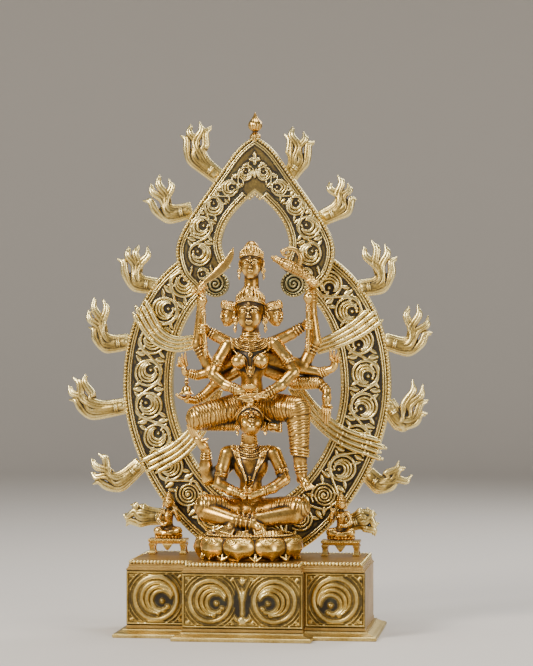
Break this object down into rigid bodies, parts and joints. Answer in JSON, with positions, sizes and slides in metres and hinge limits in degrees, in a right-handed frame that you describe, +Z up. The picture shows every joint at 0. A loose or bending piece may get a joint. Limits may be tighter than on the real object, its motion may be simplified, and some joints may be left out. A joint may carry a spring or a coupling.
{
  "type": "ringed shrine statue",
  "caption": "Free-standing cast brass shrine group: crowned many-armed figure on a seated figure, lotus seat and stepped plinth, with a flaming ring and pointed crest behind.",
  "frame": {"origin": "on the ground, in the middle of the foot's bounding rectangle", "axes": "+Z up, -Y to the front, +X to the viewer's right when seen from the front"},
  "size_m": [0.4392, 0.192, 0.613],
  "materials": {
    "relief_brass": "aged satin, near-black patina in the recesses",
    "figure_brass": "antique, polished on the high places",
    "seat_brass": "warm polish with dark lines between the petals",
    "dark_brass": "smooth brown-gold satin",
    "aged_brass": "dark greenish patina",
    "fixings": "plain zinc-coated"
  },
  "bodies": {
    "root": {"plinth_shell": "dark_brass", "foot_moulding": "relief_brass", "bead_rail": "relief_brass", "scroll_panel_left": "relief_brass", "scroll_panel_centre": "relief_brass", "scroll_panel_right": "relief_brass", "ring_bolt_left": "fixings", "ring_washer_left": "fixings", "ring_bolt_right": "fixings", "ring_washer_right": "fixings", "lotus_bolt": "fixings", "lotus_washer": "fixings", "lotus_seat": "seat_brass", "lotus_rim": "seat_brass", "lower_figure": "figure_brass", "lower_head": "figure_brass", "goddess_body": "figure_brass", "goddess_head": "figure_brass", "upper_head": "figure_brass", "side_head_left": "figure_brass", "rear_arms_left": "figure_brass", "staff_left": "figure_brass", "side_head_right": "figure_brass", "rear_arms_right": "figure_brass", "staff_right": "figure_brass", "sword": "figure_brass", "bell": "figure_brass", "conch": "figure_brass", "cup": "figure_brass", "ring": "relief_brass", "crest": "relief_brass", "volute_left": "aged_brass", "volute_right": "aged_brass", "finial": "relief_brass", "flame_left_1": "relief_brass", "flame_left_2": "relief_brass", "flame_left_3": "relief_brass", "flame_left_4": "relief_brass", "flame_left_5": "relief_brass", "flame_left_6": "relief_brass", "flame_left_7": "relief_brass", "flame_right_1": "relief_brass", "flame_right_2": "relief_brass", "flame_right_3": "relief_brass", "flame_right_4": "relief_brass", "flame_right_5": "relief_brass", "flame_right_6": "relief_brass", "flame_right_7": "relief_brass", "scarf_upper_left": "relief_brass", "scarf_upper_right": "relief_brass", "scarf_lower_left": "relief_brass", "scarf_lower_right": "relief_brass", "bench_left": "figure_brass", "attendant_left": "figure_brass", "bench_right": "figure_brass", "attendant_right": "figure_brass"}
  },
  "joints": []
}
